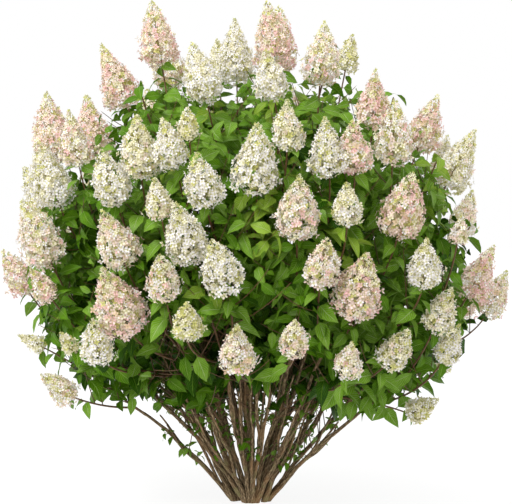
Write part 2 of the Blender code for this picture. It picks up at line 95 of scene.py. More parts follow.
rimHeads = {
    "low_left": ((-85, 51, -71, 41, "blush"), (-94, 67, -84, 62, "green")),
    "left": ((-92, 121, -80, 95, "blush"), (-100, 101, -90, 85, "pink"),
             (-89, 94, -80, 81, "pink")),
    "upper_left": ((-86, 145, -77, 119, "white"), (-66, 163, -62, 138, "pink"),
                   (-73, 157, -69, 135, "blush"), (-82, 164, -78, 137, "pink")),
    "top_left": ((-60, 183, -50, 159, "pink"), (-40, 200, -36, 176, "pink")),
    "top": ((-24, 184, -18, 160, "white"), (-14, 185, -13, 170, "green"),
            (6, 200, 9, 177, "pink"), (-7, 193, -6, 167, "white")),
    "top_right": ((29, 192, 27, 167, "blush"), (40, 187, 37, 172, "green"),
                  (49, 173, 48, 150, "pink")),
    "upper_right": ((57, 161, 56, 135, "blush"), (78, 147, 75, 131, "cream"),
                    (89, 149, 77, 126, "cream"), (74, 163, 66, 141, "pink")),
    "right": ((84, 115, 82, 103, "blush"), (88, 125, 83, 107, "blush"),
              (97, 103, 86, 82, "pink"), (102, 93, 94, 75, "blush")),
    "low_right": ((80, 86, 72, 67, "cream"), (80, 63, 75, 52, "green"),
                  (83, 71, 76, 55, "white")),
}
# The masses behind: bearing of the middle from the right, and its height
backMasses = {
    "back_top": (90, 1.75),
    "back_upper_right": (52, 1.4),
    "back_upper": (90, 1.35),
    "back_upper_left": (128, 1.4),
    "back_low_right": (48, 0.8),
    "back_low_middle_right": (76, 0.75),
    "back_low_middle_left": (104, 0.75),
    "back_low_left": (132, 0.8),
}
backBlush = ("white", "cream", "blush", "pink", "blush", "cream")

boughs = {
    "share": 0.52,
    "reach": (0.5, 0.9),
    "lean": math.radians(50),
    "frontLean": math.radians(40),
    "steepestLean": math.radians(50),
    "neckHeight": 0.1,
    "neckRadius": 0.15,
    "neckSpacing": 0.036,
    "neckRounds": 60,
    "bend": 0.4,
    "straightStart": 0.02,
    "curveSteps": 14,
    "footRadius": 0.082,
    "footGather": 0.5,
    "footReach": 0.85,
    "footClumps": ((-0.074, 0.0), (-0.004, -0.03), (0.054, -0.008), (0.008, 0.04)),
    "onwardFrom": 0.75,
    "stemShare": 0.3,
    "stemBend": 0.4,
    "shootLeaves": (0.55, 0.95),
    "shootPull": 0.45,
    "shootRise": 0.3,
    "shootSteps": 12,
}


def onDome(place, side, taken):
    ray = (place - eye).normalized()
    toMiddle = up * crown["middleZ"] - eye
    nearest = toMiddle.dot(ray)
    room = crown["radius"] ** 2 - toMiddle.length_squared + nearest ** 2
    tip = eye + ray * (nearest + side * math.sqrt(max(room, 0)))
    while any((tip - other).length < crown["headSpacing"] for other in taken):
        tip -= ray * side * crown["setBack"]
    return tip


def makeHead(tip, axis, length, blush, slimness=crown["headSlimness"]):
    return {"base": tip - axis * length, "axis": axis, "length": length,
            "radius": slimness * length, "blush": blush}


def naturalAxis(tip):
    return (tip.normalized() + up * crown["headUpright"]).normalized()


def seenHead(tip, place, foot, blush, slimness):
    out = naturalAxis(tip).y
    upright = math.sqrt(1 - out ** 2)
    seen = place - foot
    axis = (seen.normalized() * upright + (tip - eye).normalized() * out).normalized()
    size = seen.length * (tip.y - eye.y) / -eye.y
    return makeHead(tip, axis, size / (upright + crown["underside"] * abs(out)), blush, slimness)


def evenTips(taken, radius, spacing, frontLimit, draw):
    tips = []
    order = list(range(crown["domeTries"]))
    draw.shuffle(order)
    for i in order:
        height = 1 - 2 * (i + 0.5) / crown["domeTries"]
        ring = math.sqrt(1 - height ** 2)
        turn = i * goldenTurn
        tip = Vector((ring * math.cos(turn), ring * math.sin(turn), height)) * radius
        tip.z += crown["middleZ"]
        if tip.y < frontLimit or tip.z < crown["lowestTip"]:
            continue
        if all((tip - other).length > spacing for other in taken + tips):
            tips.append(tip)
    return tips


def dealHeads(draw):
    masses = {}
    taken = []
    groups = ((frontHeads, (-1, -1), crown["frontSlimness"]),
              (rimHeads, (-1, 1), crown["headSlimness"]))
    for rows, sides, slimness in groups:
        for name, heads in rows.items():
            masses[name] = []
            for i, (right, height, footRight, footHeight, blush) in enumerate(heads):
                place = Vector((right, 0, height)) * cm
                foot = Vector((footRight, 0, footHeight)) * cm
                tip = onDome(place, sides[i % 2], taken)
                taken.append(tip)
                masses[name].append(seenHead(tip, place, foot, blush, slimness))
    middles = {}
    for name, (bearing, height) in backMasses.items():
        ring = math.sqrt(crown["radius"] ** 2 - (height - crown["middleZ"]) ** 2)
        angle = math.radians(bearing)
        middles[name] = Vector((ring * math.cos(angle), ring * math.sin(angle), height))
        masses[name] = []
    for i, tip in enumerate(evenTips(taken, crown["radius"], crown["backSpacing"],
                                     crown["backFrom"], draw)):
        nearest = min(middles, key=lambda name: (middles[name] - tip).length)
        length = draw.uniform(*crown["backLengths"])
        blush = backBlush[i % len(backBlush)]
        masses[nearest].append(makeHead(tip, naturalAxis(tip), length, blush))
    flowers = []
    for name, heads in masses.items():
        share = crown["middleShare"]
        flowers += [(head["base"] + head["axis"] * head["length"] * share, name) for head in heads]
    for tip in evenTips([middle for middle, _ in flowers], crown["leafyRadius"],
                        crown["leafySpacing"], -crown["radius"], draw):
        _, nearest = min(flowers, key=lambda flower: (flower[0] - tip).length)
        masses[nearest].append(makeHead(tip, naturalAxis(tip), crown["leafyTip"], "leafy", 0))
    return masses


def bezier(start, control, end, t):
    return start * (1 - t) ** 2 + control * 2 * t * (1 - t) + end * t ** 2


def curvePoints(start, control, end, count):
    return [bezier(start, control, end, i / count) for i in range(count + 1)]


def planBoughs(masses):
    plan = {}
    necks = {}
    for name, heads in masses.items():
        middle = sum((head["base"] for head in heads), Vector()) / len(heads)
        low, high = boughs["reach"]
        lean = min(middle.angle(up), boughs["frontLean" if name in frontHeads else "lean"])
        outward = Vector((middle.x, middle.y, 0)).normalized()
        end = outward * math.sin(lean) + up * math.cos(lean)
        end *= min(max(middle.length * boughs["share"], low), high)
        necks[name] = outward * boughs["neckRadius"] * min(lean / boughs["steepestLean"], 1)
        plan[name] = {"end": end, "middle": middle}
    # the necks push each other apart until each stem has room
    for _ in range(boughs["neckRounds"]):
        for one, other in itertools.combinations(necks, 2):
            apart = necks[one] - necks[other]
            short = boughs["neckSpacing"] - apart.length
            if short > 0:
                push = apart.normalized() * short / 2
                necks[one] += push
                necks[other] -= push
    for name, bough in plan.items():
        own = necks[name].to_2d() * boughs["footRadius"] / boughs["neckRadius"]
        own *= min(1, boughs["footRadius"] * boughs["footReach"] / own.length)
        clump = min((Vector(place) for place in boughs["footClumps"]),
                    key=lambda place: (place - own).length)
        foot = clump.lerp(own, boughs["footGather"]).to_3d()
        neck = necks[name] + up * boughs["neckHeight"]
        rise = (neck - foot).normalized()
        bend = neck + rise * (bough["end"] - neck).length * boughs["bend"]
        bough.update(foot=foot, neck=neck, rise=rise, bend=bend)
    return plan


def limbLine(bough):
    # from the ground through the neck to where the mass begins
    curveStart = bough["neck"] + bough["rise"] * boughs["straightStart"]
    return [bough["foot"], bough["foot"].lerp(bough["neck"], 0.5), bough["neck"]] + \
        curvePoints(curveStart, bough["bend"], bough["end"], boughs["curveSteps"])


def planShoots(bough, heads):
    before = bezier(bough["neck"], bough["bend"], bough["end"], boughs["onwardFrom"])
    onward = (bough["end"] - before).normalized()
    toHeads = bough["middle"] - bough["end"]
    stemLength = toHeads.length * boughs["stemShare"]
    knee = bough["end"] + onward * stemLength * boughs["stemBend"]
    heading = (onward + toHeads.normalized()).normalized()
    top = knee + heading * stemLength * (1 - boughs["stemBend"])
    shoots = []
    first, last = boughs["shootLeaves"]
    order = sorted(heads, key=lambda head: (head["base"] - top).length)
    for i, head in enumerate(order):
        leave = knee.lerp(top, first + (last - first) * (i + 1) / len(order))
        control = head["base"] - head["axis"] * (head["base"] - leave).length * boughs["shootPull"]
        control.z = max(control.z, leave.z + (head["base"].z - leave.z) * boughs["shootRise"])
        line = curvePoints(leave, control, head["base"], boughs["shootSteps"])
        shoots.append({"line": line, "head": head})
    return [knee, top], shoots


def unit(rows):
    return rows / np.maximum(np.linalg.norm(rows, axis=-1, keepdims=True), 1e-9)


def show(name, data):
    # an object of this mesh, lamp or camera, linked to the scene
    thing = bpy.data.objects.new(name, data)
    bpy.context.scene.collection.objects.link(thing)
    return thing


class Pile:
    # corners, faces and UVs of many like things, which become one mesh
    def __init__(self):
        self.corners = []
        self.faces = []
        self.places = []
        self.count = 0

    def add(self, corners, faceGroups, places):
        self.corners.append(corners.reshape(-1, 3))
        self.places.append(places.reshape(-1, 2))
        self.faces += [faces + self.count for faces in faceGroups]
        self.count += len(self.corners[-1])

    def addCopies(self, corners, faces, places):
        # corners (copies, points, 3) share one list of faces and one of UVs
        copies, points, _ = corners.shape
        shifted = faces[None] + (np.arange(copies) * points)[:, None, None]
        self.add(corners, [shifted.reshape(-1, faces.shape[1])], np.tile(places, (copies, 1)))

    def make(self, name, material, slot):
        corners = np.concatenate(self.corners)
        places = np.concatenate(self.places)
        loops = np.concatenate([faces.ravel() for faces in self.faces])
        sizes = np.concatenate([np.full(len(faces), faces.shape[1]) for faces in self.faces])
        mesh = bpy.data.meshes.new(name)
        mesh.vertices.add(len(corners))
        mesh.vertices.foreach_set("co", corners.astype(np.float32).ravel())
        mesh.loops.add(len(loops))
        mesh.loops.foreach_set("vertex_index", loops.astype(np.int32))
        mesh.polygons.add(len(sizes))
        mesh.polygons.foreach_set("loop_start", np.concatenate([[0], sizes.cumsum()[:-1]]))
        mesh.polygons.foreach_set("use_smooth", np.full(len(sizes), True))
        layer = mesh.uv_layers.new(name="UVMap")
        layer.data.foreach_set("uv", places[loops].astype(np.float32).ravel())
        mesh.update(calc_edges=True)
        mesh.materials.append(material)
        thing = show(name, mesh)
        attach(thing, "root")
        print(name, int((sizes - 2).sum()), "triangles")
        return thing


tube = {
    "aside": (0.31, 0.85, 0.42),  # a direction that no limb takes
    "tipReach": 0.3,  # how far the point stands past the last ring, in rings
}


def frames(lines):
    # a side and a normal square to each point's heading, turning as little as they can
    heading = unit(np.gradient(lines, axis=0))
    side = np.cross(heading[0], tube["aside"])
    sides = []
    for ahead in heading:
        side = side - ahead * (side @ ahead)
        side = side / np.linalg.norm(side)
        sides.append(side)
    sides = np.array(sides)
    return sides, np.cross(heading, sides)


def resample(points, step):
    points = np.array(points, float)
    lengths = np.concatenate([[0], np.linalg.norm(np.diff(points, axis=0), axis=1).cumsum()])
    count = max(int(round(lengths[-1] / step)), 2)
    along = np.linspace(0, lengths[-1], count + 1)
    return np.stack([np.interp(along, lengths, points[:, k]) for k in range(3)], 1), along


def addTube(pile, line, along, radii, sides, relief=None):
    # a tapering tube along a line; relief(angle, along) scales each corner's distance
    across, normal = frames(line)
    angle = np.linspace(0, math.tau, sides, endpoint=False)
    girth = np.repeat(radii[:, None], sides, 1)
    if relief:
        girth = girth * relief(angle[None], along[:, None])
    ring = (across[:, None] * np.cos(angle)[None, :, None]
            + normal[:, None] * np.sin(angle)[None, :, None])
    corners = line[:, None] + ring * girth[..., None]
    rows = len(line)
    place = np.arange(rows * sides).reshape(rows, sides)
    after = np.roll(place, -1, 1)
    quads = np.stack([place[:-1], after[:-1], after[1:], place[1:]], -1).reshape(-1, 4)
    tip = rows * sides
    caps = np.stack([place[-1], after[-1], np.full(sides, tip)], -1)
    foot = np.stack([after[0], place[0], np.full(sides, tip + 1)], -1)
    ends = np.stack([line[-1] + (line[-1] - line[-2]) * tube["tipReach"], corners[0].mean(0)])
    # the UVs run out and back round the tube, so that no seam shows in the streaks
    turn = np.abs(np.linspace(-1, 1, sides)) * math.pi
    turn = np.broadcast_to(turn, (rows, sides)) * radii[:, None]
    where = np.stack([turn, np.broadcast_to(along[:, None], (rows, sides))], -1).reshape(-1, 2)
    where = np.concatenate([where, [[0, along[-1]], [0, 0]]])
    pile.add(np.concatenate([corners.reshape(-1, 3), ends]), [quads, caps, foot], where)


def grey(shade):
    return (shade,) * 3


class Finish:
    # one material, put together node by node
    def __init__(self, name, roughness, specular):
        self.material = bpy.data.materials.new(name)
        self.material.use_nodes = True
        self.nodes = self.material.node_tree.nodes
        self.links = self.material.node_tree.links
        self.shader = self.nodes["Principled BSDF"]
        self.shader.inputs["Roughness"].default_value = roughness
        self.shader.inputs["Specular IOR Level"].default_value = specular
        where = self.nodes.new("ShaderNodeTexCoord").outputs
        self.flat, self.solid = where["UV"], where["Object"]

    def add(self, kind, inputs, **settings):
        # another node's output is linked to an input, and a plain value is set on it
        made = self.nodes.new(kind)
        for key, value in settings.items():
            setattr(made, key, value)
        for key, value in inputs.items():
            if isinstance(value, bpy.types.NodeSocket):
                self.links.new(value, made.inputs[key])
            else:
                made.inputs[key].default_value = value
        return made.outputs

    def maths(self, operation, *values):
        return self.add("ShaderNodeMath", dict(enumerate(values)), operation=operation)[0]

    def noise(self, place, scale, detail, roughness=0.5):
        return self.add("ShaderNodeTexNoise", {"Vector": place, "Scale": scale, "Detail": detail,
                                               "Roughness": roughness})[0]

    def streaks(self, stretch, detail, roughness=0.5):
        # noise drawn out along a limb
        drawn = self.add("ShaderNodeMapping", {"Vector": self.flat, "Scale": stretch})[0]
        return self.noise(drawn, 1.0, detail, roughness)

    def ramp(self, share, *stops):
        made = self.nodes.new("ShaderNodeValToRGB")
        self.links.new(share, made.inputs[0])
        bands = made.color_ramp.elements
        bands[0].position, bands[0].color = stops[0][0], (*stops[0][1], 1)
        bands[1].position, bands[1].color = stops[-1][0], (*stops[-1][1], 1)
        for place, colour in stops[1:-1]:
            bands.new(place).color = (*colour, 1)
        return made.outputs[0]

    def patches(self, scale, detail, start, full, most):
        noise = self.noise(self.solid, scale, detail)
        return self.ramp(noise, (start, grey(0)), (full, grey(most)))

    def mix(self, share, first, second, blend="MIX"):
        return self.add("ShaderNodeMix", {0: share, 6: first, 7: second},
                        data_type="RGBA", blend_type=blend)[2]

    def paint(self, colour):
        self.links.new(colour, self.shader.inputs["Base Color"])

    def emboss(self, height, strength, depth, invert=False):
        bump = self.add("ShaderNodeBump", {"Height": height, "Strength": strength,
                                           "Distance": depth}, invert=invert)[0]
        self.links.new(bump, self.shader.inputs["Normal"])

    def letLightThrough(self, share, colour):
        # a thin blade also glows with the light behind it
        glow = self.add("ShaderNodeBsdfTranslucent", {"Color": colour})[0]
        both = self.add("ShaderNodeMixShader", {"Fac": share, 1: self.shader.outputs[0], 2: glow})
        self.links.new(both[0], self.nodes["Material Output"].inputs["Surface"])


# In each finish, sheen is its roughness and specular level, and relief its strength and depth
bark = {
    "tones": ((0.36, (0.02, 0.013, 0.007)), (0.5, (0.135, 0.088, 0.043)),
              (0.66, (0.48, 0.365, 0.22))),
    "streaks": ((170, 38, 1), 6, 0.65),  # stretch, detail and roughness
    # each tint's patches: scale, detail, where they start and are full, how much they cover
    "rust": ((9.0, 3, 0.5, 0.66, 0.55), (0.24, 0.13, 0.055)),
    "lichen": ((23.0, 4, 0.55, 0.7, 0.6), (0.2, 0.185, 0.075)),
    "sheen": (0.85, 0.2),
    "relief": (0.6, 0.003),
}


def barkFinish():
    finish = Finish("streakedBark", *bark["sheen"])
    streaks = finish.streaks(*bark["streaks"])
    colour = finish.ramp(streaks, *bark["tones"])
    for patches, tint in (bark["rust"], bark["lichen"]):
        colour = finish.mix(finish.patches(*patches), colour, (*tint, 1))
    finish.paint(colour)
    finish.emboss(streaks, *bark["relief"])
    return finish.material


youngWood = {
    "streaks": ((300, 40, 1), 4),
    "toneStops": (0.35, 0.68),
    "sheen": (0.55, 0.4),
    "relief": (0.3, 0.001),
    "shootStep": 0.02,
    "shootRadii": (0.0048, 0.003),
    "shootSides": 6,
    "twigStep": 0.045,
    "twigSides": 3,
}
youngTints = {  # the streaks' low and high tone
    "redShoots": ((0.075, 0.033, 0.013), (0.2, 0.105, 0.042)),
    "greenBuds": ((0.4, 0.44, 0.16), (0.7, 0.68, 0.38)),
    "headStalks": ((0.22, 0.2, 0.08), (0.4, 0.3, 0.16)),
}


def youngWoodFinish(name):
    finish = Finish(name, *youngWood["sheen"])
    streaks = finish.streaks(*youngWood["streaks"])
    finish.paint(finish.ramp(streaks, *zip(youngWood["toneStops"], youngTints[name])))
    finish.emboss(streaks, *youngWood["relief"])
    return finish.material


# lit and shaded copies of one leaf colour, from painted shade deep in the crown to painted light
# outside and above
leafTints = {  # the blade, its mottling and its veins
    "shadedLeaves": ((0.014, 0.058, 0.001), (0.028, 0.092, 0.001), (0.13, 0.25, 0.02)),
    "midLeaves": ((0.066, 0.178, 0.001), (0.102, 0.242, 0.003), (0.29, 0.46, 0.09)),
    "litLeaves": ((0.13, 0.28, 0.008), (0.19, 0.362, 0.03), (0.43, 0.59, 0.22)),
    "brightestLitLeaves": ((0.22, 0.37, 0.022), (0.29, 0.45, 0.04), (0.48, 0.61, 0.2)),
}
leafSkin = {
    "sheen": (0.32, 0.14),
    "sideVeins": 9.0,
    "veinSlant": -0.75,
    "veinWidth": 0.16,
    "veinHeight": 0.8,
    "midrib": (0.012, 0.045),
    "mottling": (28.0, 3),
    "mottleStops": (0.38, 0.64),
    "veinShare": 0.75,
    "relief": (0.8, 0.003),
    "glow": 0.22,
}


def leafFinish(name):
    blade, mottle, vein = leafTints[name]
    finish = Finish(name, *leafSkin["sheen"])
    across, along, _ = finish.add("ShaderNodeSeparateXYZ", {0: finish.flat})
    out = finish.maths("ABSOLUTE", finish.maths("SUBTRACT", across, 0.5))
    slant = finish.maths("MULTIPLY_ADD", out, leafSkin["veinSlant"], along)
    often = finish.maths("MULTIPLY", slant, leafSkin["sideVeins"])
    sideVeins = finish.ramp(finish.maths("PINGPONG", often, 0.5),
                            (0.0, grey(leafSkin["veinHeight"])), (leafSkin["veinWidth"], grey(0)))
    midrib = finish.ramp(out, *zip(leafSkin["midrib"], (grey(1), grey(0))))
    veins = finish.mix(1.0, sideVeins, midrib, "LIGHTEN")
    mottles = finish.noise(finish.solid, *leafSkin["mottling"])
    spread = finish.ramp(mottles, *zip(leafSkin["mottleStops"], (blade, mottle)))
    colour = finish.mix(finish.maths("MULTIPLY", veins, leafSkin["veinShare"]), spread, (*vein, 1))
    finish.paint(colour)
    finish.emboss(veins, *leafSkin["relief"], invert=True)
    finish.letLightThrough(leafSkin["glow"], colour)
    return finish.material


petalTints = {  # the heart and the edge
    "whitePetals": ((0.62, 0.6, 0.22), (0.95, 0.92, 0.93)),
    "creamPetals": ((0.56, 0.54, 0.18), (0.93, 0.88, 0.68)),
    "limePetals": ((0.38, 0.4, 0.08), (0.68, 0.66, 0.25)),
    "blushPetals": ((0.65, 0.53, 0.24), (0.95, 0.78, 0.73)),
    "rosePetals": ((0.64, 0.44, 0.25), (0.93, 0.6, 0.61)),
    "fadedPetals": ((0.58, 0.46, 0.25), (0.8, 0.6, 0.42)),
}
tintNames = tuple(petalTints)
petalSkin = {
    "sheen": (0.6, 0.25),
    "outwardStops": (0.05, 0.5),
    # random patches of painted shade on the petals: their scale and detail, where they start and
    # end, and their grey
    "shadePatches": (70.0, 2),
    "shadePatchStops": (0.3, 0.6),
    "patchShade": (0.82, 0.82, 0.8),
    "glow": 0.3,
}


def petalFinish(name):
    finish = Finish(name, *petalSkin["sheen"])
    _, along, _ = finish.add("ShaderNodeSeparateXYZ", {0: finish.flat})
    outwards = finish.ramp(along, *zip(petalSkin["outwardStops"], petalTints[name]))
    # random patches of painted shade darken the petal colour with a grey
    shadePatches = finish.noise(finish.solid, *petalSkin["shadePatches"])
    shade = finish.ramp(shadePatches, *zip(petalSkin["shadePatchStops"], (petalSkin["patchShade"], grey(1))))
    colour = finish.mix(1.0, outwards, shade, "MULTIPLY")
    finish.paint(colour)
    finish.letLightThrough(petalSkin["glow"], colour)
    return finish.material


# Wood: the root crown, the stems and the forks that leave them
wood = {
    "seed": 5,
    # a stem's radius at its foot, above its flare, at the neck, below its top and at its end
    "radii": (0.0145, 0.01189, 0.0092, 0.0062, 0.0055),
    "flareEnds": (0.045, 0.1),
    "topLength": 0.12,
    "ringStep": 0.011,
    "sides": 11,
    "wander": 0.0034,
    "swayTurns": 1.3,
    "swayFades": (5, 6),
    "jointEvery": 0.07,
    "jointShift": 0.4,
    "ridges": ((2, 0.05), (3, 0.055), (5, 0.04), (8, 0.02)),  # how many round the limb, how deep
    "ridgeTwist": 14,
    "knotEvery": 0.11,
    "knotFrom": 0.02,
    "knotHeight": 0.17,
    "knotLength": 0.007,
}


def wandered(line, along, draw, size):
    # a limb is never quite straight: it sways, and bends a little at each old joint
    reach = along / along[-1]
    fadeIn, fadeOut = wood["swayFades"]
    fade = np.clip(reach * fadeIn, 0, 1) * np.clip((1 - reach) * fadeOut, 0, 1)
    direction = np.array([draw.gauss(0, 1) for _ in range(3)])
    phase = draw.uniform(0, math.tau)
    sway = np.sin(reach * wood["swayTurns"] * math.tau + phase)[:, None] * direction
    joints = np.linspace(0, along[-1], max(int(along[-1] / wood["jointEvery"]), 2))
    shift = wood["jointShift"]
    joints = joints + np.array([draw.uniform(-shift, shift) for _ in joints]) * joints[1]
    joints.sort()
    shifts = np.array([[draw.gauss(0, 1) for _ in range(3)] for _ in joints])
    sway += np.stack([np.interp(along, joints, shifts[:, k]) for k in range(3)], 1)
    return line + sway * size * fade[:, None]


def barkRelief(draw, length, knotEvery):
    twist = wood["ridgeTwist"]
    ridges = [(k, draw.uniform(0, math.tau), draw.uniform(-twist, twist), depth)
              for k, depth in wood["ridges"]]
    knots = [draw.uniform(wood["knotFrom"], length) for _ in range(int(length / knotEvery))]

    def relief(angle, along):
        girth = 1 + 0 * angle * along
        for k, phase, twist, depth in ridges:
            girth = girth + depth * np.sin(k * angle + phase + twist * along)
        for knot in knots:
            swell = np.exp(-((along - knot) / wood["knotLength"]) ** 2)
            girth = girth + wood["knotHeight"] * swell
        return girth
    return relief


def buildStems(plan, stems, draw):
    pile = Pile()
    tops = []
    for name, bough in plan.items():
        line, along = resample(limbLine(bough) + stems[name], wood["ringStep"])
        line = wandered(line, along, draw, wood["wander"])
        heights = (0, *wood["flareEnds"], along[-1] - wood["topLength"], along[-1])
        radii = np.interp(along, heights, wood["radii"])
        relief = barkRelief(draw, along[-1], wood["knotEvery"])
        addTube(pile, line, along, radii, wood["sides"], relief)
        # the first ring slides along the stem on to the level ground
        corners = pile.corners[-1]
        rise = np.array(bough["rise"])
        first = corners[:wood["sides"]]
        corners[:wood["sides"]] = first - rise * (first[:, 2:] / rise[2])
        corners[-1] = corners[:wood["sides"]].mean(0)
        corners[corners[:, 2] < 0, 2] = 0
        tops.append(line)
    return pile, tops


forks = {
    "perStem": 3,
    "start": (0.1, 0.45),
    "drift": 0.12,
    "spread": (-0.35, 0.6),
    "reachFrom": 1.06,
    "reach": (0.6, 0.95),
    "onward": (0.8, 0.6, 0.25),  # shares of the stem's heading, of the fork's own, and of upwards
    "limit": 0.66,
    "pull": 0.4,
    "curveSteps": 12,
    "ringSteps": 1.3,
    "wander": 0.8,
    "radius": (0.0062, 0.0032),
    "thickness": (0.75, 1.2),
    "flare": 1.35,
    "flareLength": 0.02,
    "knotEvery": 0.08,
    "sides": 7,
}


def growFork(pile, line, length, draw):
    start = int(len(line) * draw.uniform(*forks["start"]))
    ahead = unit(line[start + 1] - line[start - 1])
    drift = np.array([draw.gauss(0, forks["drift"]) for _ in range(3)])
    outward = unit(line[start] * level + drift * level)
    heading = unit(ahead + outward * draw.uniform(*forks["spread"]))
    reach = (forks["reachFrom"] - start / len(line)) * length * draw.uniform(*forks["reach"])
    stemShare, ownShare, rise = forks["onward"]
    onward = unit(ahead * stemShare + heading * ownShare + np.array([0, 0, rise]))
    end = line[start] + onward * reach
    past = np.linalg.norm(end - (0, 0, crown["middleZ"])) - forks["limit"]
    end = end - onward * max(past, 0)
    control = line[start] + heading * reach * forks["pull"]
    points = curvePoints(Vector(line[start]), Vector(control), Vector(end), forks["curveSteps"])
    branch, along = resample(points, wood["ringStep"] * forks["ringSteps"])
    branch = wandered(branch, along, draw, wood["wander"] * forks["wander"])
    thick, thin = forks["radius"]
    thick *= draw.uniform(*forks["thickness"])
    radii = np.interp(along, (0, forks["flareLength"], along[-1]),
                      (thick * forks["flare"], thick, thin))
    relief = barkRelief(draw, along[-1], forks["knotEvery"])
    addTube(pile, branch, along, radii, forks["sides"], relief)
    return [Vector(point) for point in branch]


def buildForks(pile, tops, draw):
    # thinner stems that leave the stems low down and rise among them, each with a leafy end
    ends = []
    for line in tops:
        length = np.linalg.norm(np.diff(line, axis=0), axis=1).cumsum()[-1]
        ends += [growFork(pile, line, length, draw) for _ in range(forks["perStem"])]
    return ends


blade = {
    "rows": (0.0, 0.13, 0.3, 0.54, 0.8, 1.0),
    "columns": (-1.0, -0.55, 0.0, 0.55, 1.0),
    "petiole": 0.13,
    "petioleWidth": 0.05,
    "broadest": 0.8,
    "roundness": (0.8, 0.35),  # how full the oval is at its foot, and how it sharpens to the point
    "narrowing": 0.1,
    "footWidth": 0.02,
    "width": (0.43, 0.56),
    "droop": (0.5, 1.45),
    "fold": (0.15, 0.5),
    "sweep": 0.12,
    "ripple": 0.025,
    "rippleTurns": (9, 2),
    "leastArea": 1e-6,
}


def bladeWidth(t):
    # half width as a share of the widest: a narrow stalk, then an oval that runs out to a point
    u = np.clip((t - blade["petiole"]) / (1 - blade["petiole"]), 0, 1)
    full, sharper = blade["roundness"]
    oval = np.sin(math.pi * u ** blade["broadest"]) ** (full + sharper * u)
    oval = oval * (1 - blade["narrowing"] * u) + blade["footWidth"] * (1 - u)
    return np.where(t <= blade["petiole"], blade["petioleWidth"], oval)


def leafTemplate():
    rows, cols = len(blade["rows"]), len(blade["columns"])
    t, s = np.meshgrid(blade["rows"], blade["columns"], indexing="ij")
    place = np.arange(rows * cols).reshape(rows, cols)
    quads = np.stack([place[:-1, :-1], place[:-1, 1:], place[1:, 1:], place[1:, :-1]], -1)
    quads = quads.reshape(-1, 4)
    triangles = np.concatenate([quads[:, (0, 1, 2)], quads[:, (0, 2, 3)]])
    # where the blade closes to a point some faces have no area, and those are dropped
    width = bladeWidth(t)
    flat = np.stack([s * width, t], -1).reshape(-1, 2)
    a, b, c = (flat[triangles[:, k]] for k in range(3))
    area = np.abs((b - a)[:, 0] * (c - a)[:, 1] - (b - a)[:, 1] * (c - a)[:, 0])
    places = np.stack([s.ravel() * 0.5 + 0.5, t.ravel()], -1)
    return s.ravel(), t.ravel(), width.ravel(), triangles[area > blade["leastArea"]], places


def layLeaves(pile, rows, draws):
    # rows: root, direction, light, length; each blade folds, droops and waves in its own way
    s, t, width, faces, places = leafTemplate()
    root, along, light = (np.array([row[k] for row in rows], float) for k in range(3))
    length = np.array([row[3] for row in rows], float)
    count = len(rows)
    across = unit(np.cross(along, light))
    upper = np.cross(across, along)
    droop = draws.uniform(*blade["droop"], count)[:, None]
    wide = draws.uniform(*blade["width"], count)[:, None] / 2
    fold = draws.uniform(*blade["fold"], count)[:, None]
    wave = draws.uniform(0, math.tau, count)[:, None]
    sweep = draws.normal(0, blade["sweep"], count)[:, None]
    forward = np.sin(droop * t) / droop
    down = (1 - np.cos(droop * t)) / droop
    side = s * width * wide + sweep * t ** 2
    alongTurns, acrossTurns = blade["rippleTurns"]
    ripple = blade["ripple"] * np.sin(wave + t * alongTurns + s * acrossTurns) * np.abs(s) * width
    rise = fold * np.abs(s) * width * wide + ripple - down
    corners = (root[:, None] + length[:, None, None] *
               (across[:, None] * side[..., None] + along[:, None] * forward[..., None]
                + upper[:, None] * rise[..., None]))
    pile.addCopies(corners, faces, places)


# How the leaves are set on a shoot, and the outline that they keep to: a distance from the
# crown's middle for each height
leaves = {
    "seed": 23,
    "length": (0.078, 0.124),
    "pairSizes": (0.74, 0.9, 1.0, 1.06, 1.06, 1.02),
    "nodeSpacing": 0.047,
    "nodeScatter": (0.85, 1.2),
    "leafyFirst": 0.003,
    "firstNode": 0.008,
    "firstScatter": 0.012,
    "lastNode": 0.46,
    "out": 0.95,
    "ahead": (0.1, 0.55),
    "hang": (0.15, 0.55),
    "lightOut": 0.75,
    "lightUp": 0.6,
    "lightScatter": (0.55, 0.25),
    "probes": ((0.55, 0.08), (0.9, 0.3)),  # where a leaf's middle and tip are tried: out and down
    "hangUnderHead": 0.09,
    "leafyLowest": 1.0,
    "outline": ((0.45, 0.9, 1.6), (1.05, 0.97, 0.9)),
    "leafyOutline": ((0.9, 1.6, 1.85), (0.98, 0.97, 0.9)),
    "headBluntness": 0.7,
    "headFoot": 0.01,
    "clearOutward": (0.0, 0.05, 0.1),
}


class HeadSpace:
    # all flower heads as blunt cones, so that no leaf grows through the blossom
    def __init__(self, heads):
        # each also stands further out, so that no leaf covers it
        full = [head for head in heads if head["radius"]]
        steps = leaves["clearOutward"]
        middle = np.array((0, 0, crown["middleZ"]))
        base = np.array([head["base"] for head in full], float)
        outward = unit(base - middle)
        self.base = np.concatenate([base + outward * step for step in steps])
        self.axis = np.tile([head["axis"] for head in full], (len(steps), 1))
        self.length, self.radius = (np.tile([head[key] for head in full], len(steps))
                                    for key in ("length", "radius"))

    def clear(self, points):
        out = points[:, None] - self.base[None]
        along = (out * self.axis).sum(-1)
        away = np.linalg.norm(out - self.axis * along[..., None], axis=-1)
        share = np.clip(along / self.length, 0, 1)
        girth = self.radius * (1 - share) ** leaves["headBluntness"]
        inside = (along > leaves["headFoot"]) & (along < self.length) & (away < girth)
        return not inside.any()


def pointBack(line, distance):
    for after, before in itertools.pairwise(reversed(line)):
        step = (after - before).length
        if distance <= step:
            return after.lerp(before, distance / max(step, 1e-6)), (after - before).normalized()
        distance -= step
    return None, None


